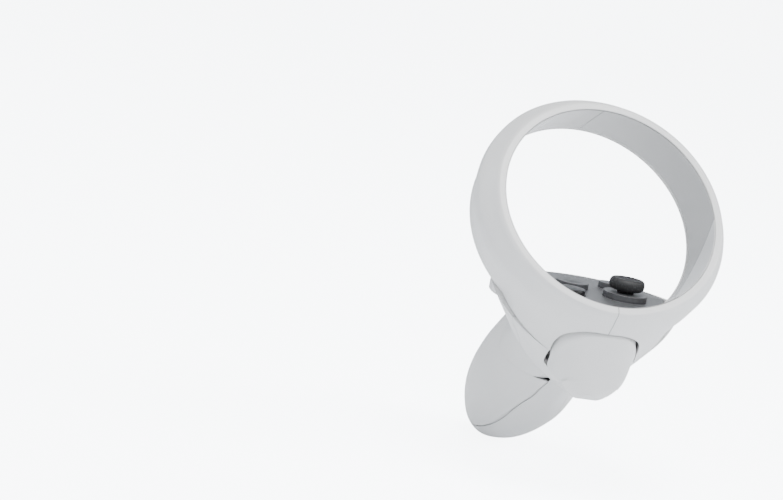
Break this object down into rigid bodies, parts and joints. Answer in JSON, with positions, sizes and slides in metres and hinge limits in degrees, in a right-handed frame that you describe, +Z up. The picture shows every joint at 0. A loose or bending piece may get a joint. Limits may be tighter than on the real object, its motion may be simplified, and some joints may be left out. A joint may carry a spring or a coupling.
{
  "type": "vr motion controller",
  "caption": "Handheld VR motion controller for the left hand: leaning tracking ring, flat control plate with thumbstick and buttons, trigger, side grip button and tapered battery handle.",
  "frame": {"origin": "below the middle of the object, at the height of its lowest point", "axes": "+Z up and square to the control plate, +Y forward away from the user, +X to the user's right"},
  "size_m": [0.0856, 0.1088, 0.126],
  "materials": {
    "white_shell": "fine satin",
    "grey_band": "satin, smoother than the shell",
    "plate_grey": "satin",
    "black_rubber": "matt",
    "black_plastic": "gloss",
    "board_green": "solder mask",
    "flex_amber": "polyimide film",
    "steel": "plain",
    "magnet_grey": "plated",
    "nylon": "moulded",
    "cell_wrap": "printed film, plain"
  },
  "bodies": {
    "controller": {"ring_shell": "white_shell", "ring_inner_band": "grey_band", "led_strip": "flex_amber", "head_shell": "white_shell", "front_housing": "white_shell", "strap_bar": "steel", "face_plate": "plate_grey", "button_pad": "nylon", "lower_dome": "nylon", "main_board": "board_green", "board_screw_1": "steel", "board_screw_2": "steel", "board_screw_3": "steel", "board_screw_4": "steel", "stick_housing": "black_plastic", "haptic_motor": "steel", "trigger_pin": "steel", "trigger_bracket": "nylon", "trigger_spring": "steel", "grip_pin": "steel", "grip_spring": "steel", "battery_cell": "cell_wrap", "battery_tray": "nylon", "contact_plate": "steel", "contact_spring": "steel"},
    "trigger": {"trigger": "white_shell", "trigger_magnet": "magnet_grey"},
    "grip": {"grip_button": "white_shell", "grip_magnet": "magnet_grey"},
    "stick_cradle": {"stick_cradle": "nylon"},
    "stick_gimbal": {"stick_gimbal": "nylon"},
    "stick": {"stick_cap": "black_rubber"},
    "upper_button": {"upper_button": "black_plastic"},
    "lower_button": {"lower_button": "black_plastic"},
    "menu_button": {"menu_button": "black_plastic"},
    "battery_cover": {"battery_cover": "white_shell"}
  },
  "joints": [
    {"name": "trigger_pull", "type": "hinge", "parent": "controller", "child": "trigger", "pos_m": [0, 0.03878, 0.05401], "axis": [-1, 0, 0], "range_deg": [0, 14], "stiffness_Nm_per_rad": 0.08, "springref_deg": -11.46},
    {"name": "grip_squeeze", "type": "hinge", "parent": "controller", "child": "grip", "pos_m": [0.0058, 0.0114, 0.04267], "axis": [-0.2433, 0.9053, -0.3482], "range_deg": [0, 6], "stiffness_Nm_per_rad": 0.1, "springref_deg": -11.46},
    {"name": "stick_press", "type": "slide", "parent": "controller", "child": "stick_cradle", "axis": [0, 0, -1], "range_m": [0, 0.0005], "stiffness_N_per_m": 1200, "springref_m": -0.0008},
    {"name": "stick_tilt_x", "type": "hinge", "parent": "stick_cradle", "child": "stick_gimbal", "pos_m": [-0.0115, 0.0252, 0.06108], "axis": [1, 0, 0], "range_deg": [-15, 15], "stiffness_Nm_per_rad": 0.02},
    {"name": "stick_tilt_y", "type": "hinge", "parent": "stick_gimbal", "child": "stick", "pos_m": [-0.0115, 0.0252, 0.06108], "axis": [0, 1, 0], "range_deg": [-15, 15], "stiffness_Nm_per_rad": 0.02},
    {"name": "upper_button_press", "type": "slide", "parent": "controller", "child": "upper_button", "axis": [0, 0, -1], "range_m": [0, 0.0008], "stiffness_N_per_m": 800, "springref_m": -0.0005},
    {"name": "lower_button_press", "type": "slide", "parent": "controller", "child": "lower_button", "axis": [0, 0, -1], "range_m": [0, 0.0008], "stiffness_N_per_m": 800, "springref_m": -0.0005},
    {"name": "menu_button_press", "type": "slide", "parent": "controller", "child": "menu_button", "axis": [0, 0, -1], "range_m": [0, 0.0004], "stiffness_N_per_m": 800, "springref_m": -0.0005},
    {"name": "cover_slide", "type": "slide", "parent": "controller", "child": "battery_cover", "axis": [0, -0.9802, 0.1982], "range_m": [0, 0.003]}
  ]
}
